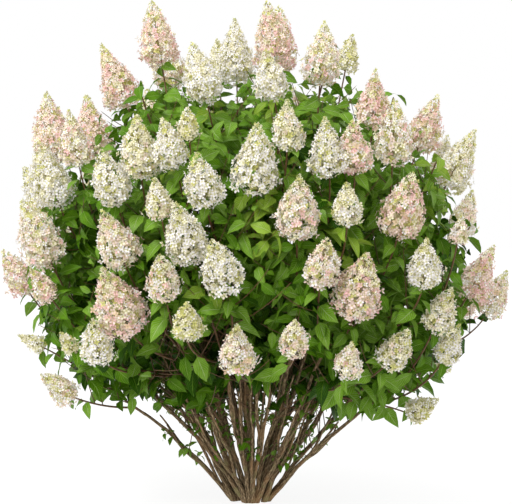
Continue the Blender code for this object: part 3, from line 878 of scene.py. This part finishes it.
hem = {
    "height": 0.4,
    "riseFrom": 0.68,
    "rise": 0.5,
    "frontRise": 0.1,
    "waves": 0.0375,
    "openMiddle": -0.04,
    "openWidth": 0.36,
    "openDepth": 0.1,
    "openTop": 0.7,
    "openSlope": 0.11,
    "tufts": 0.3,
    # each wave's turns along x, its turns along y or z, and its phase
    "edgeWaves": ((9, 0, 1), (23, 11, 0), (-5, 17, 0)),
    "tuftWaves": ((26, 0, 0.7), (11, -21, 2)),
}


def waveSum(waves, x, other):
    return sum(math.sin(x * turns + other * more + phase) for turns, more, phase in waves)


def hemHeight(x, y):
    # the crown's underside rises outwards like a bowl, with an uneven edge
    waves = waveSum(hem["edgeWaves"], x, y)
    rise = hem["rise"] * max(math.hypot(x, y) - hem["riseFrom"], 0)
    return hem["height"] + rise + hem["frontRise"] * max(-y, 0) + hem["waves"] * waves


def inOpening(place):
    # low in the middle of the front the leaves hang in loose tufts, and the stems show between them
    x, y, z = place
    if y > hem["openDepth"] or abs(x - hem["openMiddle"]) > hem["openWidth"]:
        return False
    tufts = waveSum(hem["tuftWaves"], x, z)
    return z < hem["openTop"] - hem["openSlope"] * y and tufts < hem["tufts"]


def insideOutline(point, outline):
    return np.linalg.norm(np.array(point) - (0, 0, crown["middleZ"])) < np.interp(point[2], *outline)


def growLeaf(spray, space, root, outward, heading, size, lowest, outline, draw):
    direction = (outward * leaves["out"] + heading * draw.uniform(*leaves["ahead"])
                 - up * draw.uniform(*leaves["hang"])).normalized()
    flat, steep = leaves["lightScatter"]
    scatter = Vector((draw.gauss(0, flat), draw.gauss(0, flat), draw.gauss(0, steep)))
    light = (Vector((root.x, root.y, 0)).normalized() * leaves["lightOut"]
             + up * leaves["lightUp"] + scatter).normalized()
    middle, tip = (np.array(root + direction * size * out - up * size * down)
                   for out, down in leaves["probes"])
    if tip[2] < min(hemHeight(tip[0], tip[1]), lowest) or inOpening(tip):
        return
    if space.clear(np.array([middle, tip])) and insideOutline(tip, outline):
        spray.append((root, direction, light, size))


def pairsAlong(line, distances, turn):
    # where opposite pairs leave a limb, back from its tip; each pair is square to the last
    for pair, distance in enumerate(distances):
        place, heading = pointBack(line, distance)
        if place is None:
            return
        side = heading.orthogonal().normalized()
        yield pair, distance, place, heading, [
            Matrix.Rotation(turn + (pair / 2 + half) * math.pi, 3, heading) @ side
            for half in (0, 1)]


def leafSize(sizes, pair, draw):
    return draw.uniform(*leaves["length"]) * sizes[min(pair, len(sizes) - 1)]


sideTwigs = {
    "chance": 0.7,
    "deepFrom": 0.09,
    "length": (0.12, 0.27),
    "out": 0.9,
    "ahead": 0.75,
    "rise": 0.1,
    "sag": 0.08,
    "tipRise": 0.12,
    "curveSteps": 6,
    "firstPair": 0.002,
    "pairSpacing": 0.05,
    "pairSizes": (0.62, 0.88, 1.0, 1.0, 0.95, 0.9),
    "radii": (0.0024, 0.0013),
    "outline": ((0.9, 1.5, 1.75), (0.92, 0.82, 0.71)),
}


def growTwig(twigs, sprays, space, root, direction, length, lowest, draw):
    # a leafy side twig, with a small pair at its tip
    outline = sideTwigs["outline"]
    end = root + direction * length
    if end.z < hemHeight(end.x, end.y) or not insideOutline(end, outline):
        return
    control = root + direction * length * 0.5 - up * length * sideTwigs["sag"]
    tip = end + up * length * sideTwigs["tipRise"]
    line = curvePoints(root, control, tip, sideTwigs["curveSteps"])
    spray = []
    turn = draw.uniform(0, math.tau)
    spacing = sideTwigs["pairSpacing"]
    distances = [sideTwigs["firstPair"] + pair * spacing
                 for pair in range(max(int(length / spacing), 1) + 1)]
    for pair, _, place, heading, ways in pairsAlong(line, distances, turn):
        size = leafSize(sideTwigs["pairSizes"], pair, draw)
        for outward in ways:
            growLeaf(spray, space, place, outward, heading, size, lowest, outline, draw)
    if len(spray) > 1:
        twigs.append((line, *sideTwigs["radii"]))
        sprays.append(spray)


def nodesFrom(distance, draw):
    while distance < leaves["lastNode"]:
        yield distance
        distance += leaves["nodeSpacing"] * draw.uniform(*leaves["nodeScatter"])


def growShoot(shoot, twigs, sprays, space, draw):
    line = shoot["line"]
    spray = []
    turn = draw.uniform(0, math.tau)
    if shoot["head"]["radius"]:
        lowest, outline = line[-1].z - leaves["hangUnderHead"], leaves["outline"]
        first = leaves["firstNode"] + draw.uniform(0, leaves["firstScatter"])
    else:
        lowest, outline = leaves["leafyLowest"], leaves["leafyOutline"]
        first = leaves["leafyFirst"]
    for pair, distance, place, heading, ways in pairsAlong(line, nodesFrom(first, draw), turn):
        size = leafSize(leaves["pairSizes"], pair, draw)
        for outward in ways:
            growLeaf(spray, space, place, outward, heading, size, lowest, outline, draw)
            if spray and "leafFrom" not in shoot:
                shoot["leafFrom"] = distance
            if distance > sideTwigs["deepFrom"] and draw.random() < sideTwigs["chance"]:
                length = draw.uniform(*sideTwigs["length"])
                direction = (outward * sideTwigs["out"] + heading * sideTwigs["ahead"]
                             + up * sideTwigs["rise"]).normalized()
                growTwig(twigs, sprays, space, place, direction, length, lowest, draw)
    sprays.append(spray)


sprouts = {
    "perStem": 3,
    "start": (0.3, 0.72),
    "rise": (0.1, 0.9),
    "straight": 0.01,
    "curveSteps": 3,
    "length": (0.025, 0.075),
    "pairs": (0.002, 0.02, 0.04),
    "ahead": 0.5,
    "lightOut": 0.5,
    "leaf": (0.028, 0.052),
    "radii": (0.0016, 0.001),
    # the sprouts take the middle copy or the painted-light copy of the leaf colour
    "tints": ("midLeaves", "litLeaves"),
}


def growSprout(line, twigs, sprays, draw):
    # a small leafy shoot low down on a stem
    root = Vector(line[int(len(line) * draw.uniform(*sprouts["start"]))])
    outward = Vector((draw.gauss(0, 1), draw.gauss(0, 1), 0)).normalized()
    direction = (outward + up * draw.uniform(*sprouts["rise"])).normalized()
    end = root + direction * draw.uniform(*sprouts["length"])
    twig = curvePoints(root, root + direction * sprouts["straight"], end, sprouts["curveSteps"])
    light = (up + outward * sprouts["lightOut"]).normalized()
    spray = []
    for _, _, place, heading, ways in pairsAlong(twig, sprouts["pairs"], 0):
        for way in ways:
            spread = (way + heading * sprouts["ahead"]).normalized()
            spray.append((place, spread, light, draw.uniform(*sprouts["leaf"])))
    twigs.append((twig, *sprouts["radii"]))
    sprays.append(spray)


# painted light and shade on the leaves: how high and how far out a spray stands picks its copy of
# the leaf colour
tintDeal = {
    "middleZ": 0.75,
    "brighterUp": 0.35,
    "upFrom": 0.4,
    "brighterOut": 1.4,
    "outFrom": 0.42,
    "scatter": 0.37,
    "steps": ((0.32, "shadedLeaves"), (0.83, "midLeaves"), (1.45, "litLeaves")),
}


def dealTint(spray, draw):
    # each spray takes a lit or shaded copy of the leaf colour: painted shade deep inside the crown,
    # painted light outside and above
    root = spray[0][0]
    outside = Vector((root.x, root.y, root.z - tintDeal["middleZ"])).length
    brightness = ((root.z - tintDeal["upFrom"]) * tintDeal["brighterUp"]
                  + (outside - tintDeal["outFrom"]) * tintDeal["brighterOut"]
                  + draw.gauss(0, tintDeal["scatter"]))
    for step, name in tintDeal["steps"]:
        if brightness < step:
            return name
    return "brightestLitLeaves"


blossom = {
    "seed": 31,
    "spacing": 0.0141,
    "floret": 0.0245,
    "floretScatter": (0.8, 1.12),
    "floretSizes": ((0, 0.2, 0.65, 1.0), (1.0, 1.0, 0.8, 0.5)),
    "shapes": (0.85, 1.2),
    "profile": ((0, 0.34), (0.05, 0.64), (0.12, 0.86), (0.22, 0.92), (0.43, 0.76), (0.68, 0.48),
                (0.87, 0.23), (1.0, 0.05)),
    "profileGrid": 200,
    "widthSamples": 50,
    "leastWidth": 0.08,
    "aside": (0.3, 0.5, 0.8),
    "slopeStep": 0.02,
    "shareScatter": 0.4,
    "turnScatter": 0.12,
    "loose": ((0, 0.5), (0.13, 0.06)),
    "looseTurn": 0.7,
    "lumps": ((3, 17), (2, 11), (1, 5)),  # each wave's turns round the head and along it
    "reach": (0.98, 0.05),
    "strayShare": 0.24,
    "strayReach": (0.05, 0.24),
    "innerShare": 0.42,
    "innerShares": (0.03, 0.8),
    "innerDepth": (0.72, 0.9),
    "innerSize": 1.25,
    "innerGreen": 0.75,
    "hang": 0.1,
    "hangBelow": 0.3,
    "tilt": 0.38,
    "cup": (0.05, 0.75),
    "cupDepth": 0.6,
    "greenTip": ((0.68, 0.86, 0.96), (0.0, 0.45, 0.95)),
    "creamOfGreens": 0.55,
}
outerPetal = np.array([(0.0, 0.0), (0.37, 0.5), (0.2, 1.02), (-0.2, 1.02), (-0.37, 0.5)])
innerPetal = np.array([(0.0, 0.03), (0.46, 0.55), (0.0, 1.0), (-0.46, 0.55)])
blushShares = {  # how many of a head's florets take each tint
    "white": (0.78, 0.2, 0.02, 0.0, 0.0, 0.0),
    "cream": (0.42, 0.48, 0.04, 0.06, 0.0, 0.0),
    "green": (0.25, 0.5, 0.25, 0.0, 0.0, 0.0),
    "blush": (0.36, 0.22, 0.02, 0.32, 0.06, 0.02),
    "pink": (0.1, 0.16, 0.02, 0.44, 0.24, 0.04),
}
creamTint, limeTint = tintNames.index("creamPetals"), tintNames.index("limePetals")
spots, widths = np.array(blossom["profile"], float).T


def floretTemplate(petal):
    # four sepals round the floret's middle, each with this outline
    corners, places = [], []
    for k in range(4):
        turn = k * math.pi / 2
        spin = np.array([(math.cos(turn), math.sin(turn)), (-math.sin(turn), math.cos(turn))])
        corners.append(petal @ spin)
        places.append(np.stack([petal[:, 0] + 0.5, petal[:, 1]], -1))
    faces = np.arange(4 * len(petal)).reshape(4, -1)
    return np.concatenate(corners), faces, np.concatenate(places)


def headWidth(head, shares):
    # the outline, drawn up or down a little on each head, and fuller or leaner
    shift, full = head["shape"]
    return np.interp(np.clip(shares, 0, 1) ** shift, spots, widths) ** full


def headSurface(head, shares, turns, scale=1.0):
    # points on a head's outline surface with their outward normals
    base, axis = np.array(head["base"]), np.array(head["axis"])
    side = unit(np.cross(axis, blossom["aside"]))
    other = np.cross(axis, side)
    wide = headWidth(head, shares)
    step = blossom["slopeStep"]
    slope = (headWidth(head, shares + step) - headWidth(head, shares - step)) / (2 * step)
    radial = side * np.cos(turns)[:, None] + other * np.sin(turns)[:, None]
    out = radial * (wide * head["radius"] * scale)[:, None]
    points = base + axis * (shares * head["length"])[:, None] + out
    normals = unit(radial - axis * (slope * head["radius"] / head["length"])[:, None])
    return points, normals


def spreadShares(count, draws):
    # shares of the length with as many florets on each patch of the surface
    grid = np.linspace(0, 1, blossom["profileGrid"])
    area = (np.interp(grid, spots, widths) + blossom["leastWidth"]).cumsum()
    scatter = blossom["shareScatter"]
    wanted = (np.arange(count) + 0.5 + draws.uniform(-scatter, scatter, count)) / count
    return np.interp(wanted, area / area[-1], grid)


def headCount(head):
    grid = np.linspace(0, 1, blossom["widthSamples"])
    meanWidth = np.interp(grid, spots, widths).mean()
    area = math.tau * head["radius"] * head["length"] * meanWidth
    return int(area / blossom["spacing"] ** 2)


def openFlorets(head, draws):
    # every floret of one head: middle, facing, size and which tint it takes
    count = headCount(head)
    inner = int(count * blossom["innerShare"])
    within = draws.uniform
    shares = np.concatenate([spreadShares(count, draws), within(*blossom["innerShares"], inner)])
    total = len(shares)
    outer = np.arange(total) < count
    turns = np.arange(total) * goldenTurn + draws.normal(0, blossom["turnScatter"], total)
    # the head's surface swells and sinks in soft lumps, most of all near its foot
    waves = [np.sin(turns * around + shares * down + phase)
             for (around, down), phase in zip(blossom["lumps"], within(0, math.tau, 3))]
    loose = np.interp(shares, *blossom["loose"])
    lumps = 1 + loose * waves[0] * waves[1]
    lumps += loose * blossom["looseTurn"] * waves[2]
    reach = draws.normal(*blossom["reach"], count)
    stray = within(0, 1, count) < blossom["strayShare"]
    reach += stray * within(*blossom["strayReach"], count)
    scale = np.concatenate([reach, within(*blossom["innerDepth"], inner)]) * lumps
    points, normals = headSurface(head, shares, turns)
    base, axis = np.array(head["base"]), np.array(head["axis"])
    core = base + axis * (((points - base) @ axis)[:, None])
    points = core + (points - core) * scale[:, None]
    hang = within(0, blossom["hang"], total) * outer * (shares < blossom["hangBelow"])
    points -= axis * (hang * head["length"])[:, None]
    normals = unit(normals + draws.normal(0, blossom["tilt"], normals.shape))
    size = np.interp(shares, *blossom["floretSizes"]) * blossom["floret"]
    size = size * within(*blossom["floretScatter"], total)
    size = size * np.where(outer, 1, blossom["innerSize"])
    picks = draws.choice(len(tintNames), total, p=np.array(blushShares[head["blush"]]))
    green = within(0, 1, total) < np.interp(shares, *blossom["greenTip"])
    green |= ~outer & (within(0, 1, total) < blossom["innerGreen"])
    creamy = within(0, 1, green.sum()) < blossom["creamOfGreens"]
    picks[green] = np.where(creamy, creamTint, limeTint)
    return points, normals, size, picks, outer


def layFlorets(pile, points, normals, size, petal, draws):
    flat, faces, places = floretTemplate(petal)
    count = len(points)
    side = unit(np.cross(normals, draws.normal(0, 1, (count, 3))))
    other = np.cross(normals, side)
    cup = draws.uniform(*blossom["cup"], count)[:, None]
    lift = cup * (flat ** 2).sum(1)[None] * blossom["cupDepth"]
    half = size[:, None, None] / 2
    spread = side[:, None] * flat[None, :, :1] + other[:, None] * flat[None, :, 1:]
    corners = points[:, None] + half * (spread + normals[:, None] * lift[..., None])
    pile.addCopies(corners, faces, places)


buds = {
    "share": 0.16,
    "tipShare": (0.78, 1.0),
    "tipPart": 3,  # one more at the tip for each so many
    "turn": 1,
    "depth": (0.7, 1.0),
    "size": 0.0034,
    "scatter": (0.7, 1.3),
    "knob": ((1, 0, 0), (-0.5, 0.87, 0), (-0.5, -0.87, 0), (0, 0, 1.2), (0, 0, -1)),
    "faces": ((0, 1, 3), (1, 2, 3), (2, 0, 3), (1, 0, 4), (2, 1, 4), (0, 2, 4)),
}


def layBuds(pile, head, draws):
    # closed green buds and tiny fertile flowers between the florets, and more at the tip
    count = int(headCount(head) * buds["share"])
    shares = spreadShares(count, draws)
    atTip = draws.uniform(*buds["tipShare"], count // buds["tipPart"])
    shares = np.concatenate([shares, atTip])
    turns = np.arange(len(shares)) * goldenTurn + buds["turn"]
    points, _ = headSurface(head, shares, turns, draws.uniform(*buds["depth"], len(shares)))
    size = buds["size"] * draws.uniform(*buds["scatter"], len(shares))
    knob = np.array(buds["knob"], float)
    corners = points[:, None] + knob[None] * size[:, None, None]
    pile.addCopies(corners, np.array(buds["faces"]), np.zeros((len(knob), 2)))


stalks = {
    "spineShare": 0.92,
    "spineRings": 8,
    "spineRadii": (0.0032, 0.0012),
    "spineSides": 5,
    "count": 15,
    "shares": (0.06, 0.85),
    "reach": 0.9,
    "rootBack": 0.09,
    "sag": 0.004,
    "along": (0, 0.04, 0.08),
    "radii": (0.0016, 0.0013, 0.0008),
    "sides": 3,
}


def addStalks(pile, head):
    # the spine of the head and the branchlets that carry its florets
    base, axis, length = head["base"], head["axis"], head["length"]
    end = base + axis * length * stalks["spineShare"]
    spine, along = resample([base, end], length / stalks["spineRings"])
    radii = np.linspace(*stalks["spineRadii"], len(spine))
    addTube(pile, spine, along, radii, stalks["spineSides"])
    shares = np.linspace(*stalks["shares"], stalks["count"])
    turns = np.arange(stalks["count"]) * goldenTurn
    points, _ = headSurface(head, shares, turns, stalks["reach"])
    for share, point in zip(shares, points):
        root = np.array(base + axis * length * max(share - stalks["rootBack"], 0))
        middle = (root + point) / 2 - np.array(axis) * stalks["sag"]
        line = np.array([root, middle, point])
        addTube(pile, line, np.array(stalks["along"]), np.array(stalks["radii"]), stalks["sides"])


# Floor, light and camera
studio = {
    "photoWidth": 512,
    "metresPerPixel": 0.004,
    "middle": (0.016, 0.0, 1.002),
    "distance": 6.51,
    "clipFar": 4,  # times the distance
    "elevation": math.radians(3.06),
    "sensor": 36.0,
    "sky": 1.0,
    "keyPlace": (-3.2, -4.6, 6.4),
    "keySize": 3.5,
    "keyPower": 500.0,
    "floorReach": 40.0,
    "floorGlow": 0.87,
    "floorSheen": (0.9, 0.1),
    "floorGrain": (60.0, 2),
    "floorStops": (0.3, 0.7),
    "floorTones": (0.16, 0.18),
}


def aimed(thing, place):
    # a lamp or camera stands there and points at the plant's middle
    thing.location = place
    toMiddle = Vector(studio["middle"]) - thing.location
    thing.rotation_euler = toMiddle.to_track_quat("-Z", "Y").to_euler()
    return thing


def setCamera():
    camera = bpy.data.cameras.new("camera")
    lift = studio["elevation"]
    back = Vector((0, -math.cos(lift), math.sin(lift))) * studio["distance"]
    across = studio["photoWidth"] * studio["metresPerPixel"]
    camera.sensor_width = studio["sensor"]
    camera.lens = studio["sensor"] * studio["distance"] / across
    camera.clip_end = studio["clipFar"] * studio["distance"]
    bpy.context.scene.camera = aimed(show("camera", camera), Vector(studio["middle"]) + back)


def setLight():
    world = bpy.data.worlds.new("paleSky")
    world.use_nodes = True
    sky = world.node_tree.nodes["Background"]
    sky.inputs["Color"].default_value = (1, 1, 1, 1)
    sky.inputs["Strength"].default_value = studio["sky"]
    bpy.context.scene.world = world
    key = bpy.data.lights.new("softKey", "AREA")
    key.size = studio["keySize"]
    key.energy = studio["keyPower"]
    aimed(show("softKey", key), studio["keyPlace"])
    bpy.context.scene.view_settings.view_transform = "Standard"
    bpy.context.scene.view_settings.look = "None"


def layFloor():
    finish = Finish("paleFloor", *studio["floorSheen"])
    grain = finish.noise(finish.solid, *studio["floorGrain"])
    finish.paint(finish.ramp(grain, *zip(studio["floorStops"], map(grey, studio["floorTones"]))))
    finish.shader.inputs["Emission Color"].default_value = (1, 1, 1, 1)
    finish.shader.inputs["Emission Strength"].default_value = studio["floorGlow"]
    sheet = bmesh.new()
    bmesh.ops.create_grid(sheet, x_segments=2, y_segments=2, size=studio["floorReach"])
    mesh = bpy.data.meshes.new("floor")
    sheet.to_mesh(mesh)
    sheet.free()
    mesh.materials.append(finish.material)
    show("floor", mesh)


def buildWood(plan, stems):
    draw = random.Random(wood["seed"])
    pile, tops = buildStems(plan, stems, draw)
    forkEnds = buildForks(pile, tops, draw)
    barkPiece = pile.make("streakedStems", barkFinish(), "bark")
    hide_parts("root_crown", *["bough_" + name for name in plan])
    return tops, forkEnds


def buildShoots(shoots, twigs, names):
    pile = Pile()
    for shoot in shoots:
        line, along = resample(shoot["line"], youngWood["shootStep"])
        if not shoot["head"]["radius"]:
            # a shoot with no flower head ends at its topmost leaves
            kept = along <= along[-1] - shoot.get("leafFrom", along[-1] / 2)
            line, along = line[kept], along[kept]
        radii = np.linspace(*youngWood["shootRadii"], len(line))
        addTube(pile, line, along, radii, youngWood["shootSides"])
    for points, thick, thin in twigs:
        line, along = resample(points, youngWood["twigStep"])
        addTube(pile, line, along, np.linspace(thick, thin, len(line)), youngWood["twigSides"])
    shootPiece = pile.make("youngShoots", youngWoodFinish("redShoots"), "bark")
    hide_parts(*["mass_" + name for name in names])


def buildLeaves(sprays, sproutSprays, draw):
    byTint = {name: [] for name in leafTints}
    for spray in filter(None, sprays):
        byTint[dealTint(spray, draw)] += spray
    for spray in sproutSprays:
        byTint[draw.choice(sprouts["tints"])] += spray
    draws = np.random.default_rng(leaves["seed"])
    for name, rows in byTint.items():
        pile = Pile()
        layLeaves(pile, rows, draws)
        print(name, len(rows), "leaves")
        pile.make(name, leafFinish(name), "foliage")


def buildBlossom(heads):
    draws = np.random.default_rng(blossom["seed"])
    piles = [Pile() for _ in tintNames]
    budPile, stalkPile = Pile(), Pile()
    for head in heads:
        head["shape"] = draws.uniform(*blossom["shapes"], 2)
        if not head["radius"]:
            continue
        points, normals, size, picks, outer = openFlorets(head, draws)
        for k, pile in enumerate(piles):
            for layer, petal in ((outer, outerPetal), (~outer, innerPetal)):
                own = layer & (picks == k)
                if own.any():
                    layFlorets(pile, points[own], normals[own], size[own], petal, draws)
        layBuds(budPile, head, draws)
        addStalks(stalkPile, head)
    for name, pile in zip(tintNames, piles):
        pile.make(name, petalFinish(name), "foliage")
    budPile.make("greenBuds", youngWoodFinish("greenBuds"), "foliage")
    stalkPile.make("headStalks", youngWoodFinish("headStalks"), "bark")


def main():
    setCamera()
    setLight()
    layFloor()
    masses = dealHeads(random.Random(crown["seed"]))
    plan = planBoughs(masses)
    heads = [head for group in masses.values() for head in group]
    stems, shoots = {}, []
    for name, group in masses.items():
        stems[name], own = planShoots(plan[name], group)
        shoots += own
    print("planned", len(masses), "masses and", len(heads), "shoots")

    tops, forkEnds = buildWood(plan, stems)
    space = HeadSpace(heads)
    draw = random.Random(leaves["seed"])
    twigs, sprays, sproutSprays = [], [], []
    for shoot in shoots:
        growShoot(shoot, twigs, sprays, space, draw)
    for line in forkEnds:
        growShoot({"line": line, "head": {"radius": 0}}, twigs, sprays, space, draw)
    for line in tops:
        for _ in range(sprouts["perStem"]):
            growSprout(line, twigs, sproutSprays, draw)
    print("grown", len(twigs), "twigs and", len(sprays), "sprays")
    buildShoots(shoots, twigs, masses)
    buildLeaves(sprays, sproutSprays, draw)
    buildBlossom(heads)


main()
